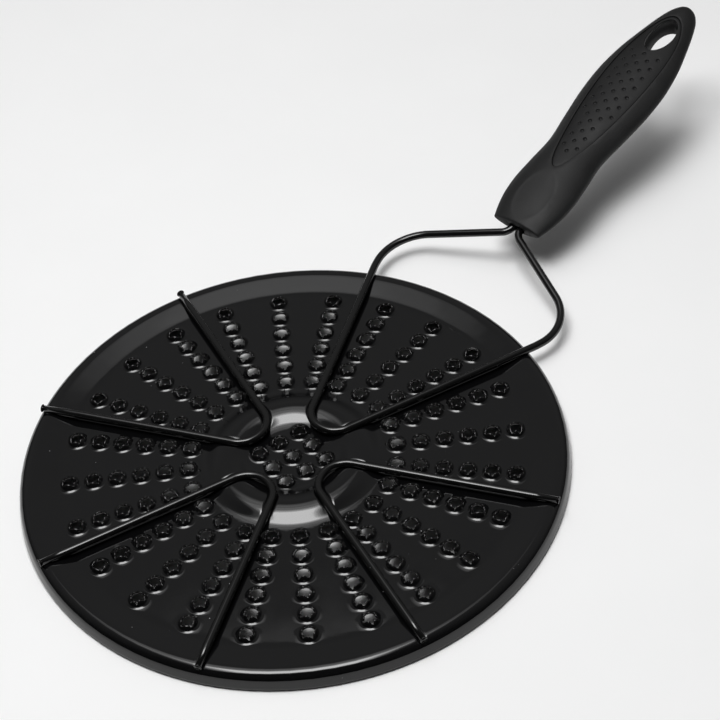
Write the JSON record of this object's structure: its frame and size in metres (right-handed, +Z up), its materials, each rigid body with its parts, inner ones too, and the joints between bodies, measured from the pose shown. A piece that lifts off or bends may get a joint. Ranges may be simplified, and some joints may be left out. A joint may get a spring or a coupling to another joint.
{
  "type": "stovetop toasting plate",
  "caption": "Round pierced enamelled steel plate for toasting over a hob, with raised wire rests and a wire-framed moulded handle.",
  "frame": {"origin": "on the plate's axis, level with the flat bottom of its hem", "axes": "+X from the plate towards the handle, +Z up out of the side with the wires, +Y completes a right-handed frame"},
  "size_m": [0.4082, 0.2326, 0.0601],
  "materials": {
    "plate_enamel": "glossy black vitreous enamel on pressed steel",
    "wire_enamel": "glossy black enamel on steel wire",
    "handle_plastic": "fine-textured matte black moulded plastic",
    "insert_plastic": "matte black soft insert with small round dimples"
  },
  "bodies": {
    "root": {"pierced_plate": "plate_enamel", "wire_rest_left": "wire_enamel", "wire_rest_front": "wire_enamel", "wire_rest_right": "wire_enamel", "handle_wire": "wire_enamel", "handle_body": "handle_plastic", "grip_insert": "insert_plastic"}
  },
  "joints": []
}
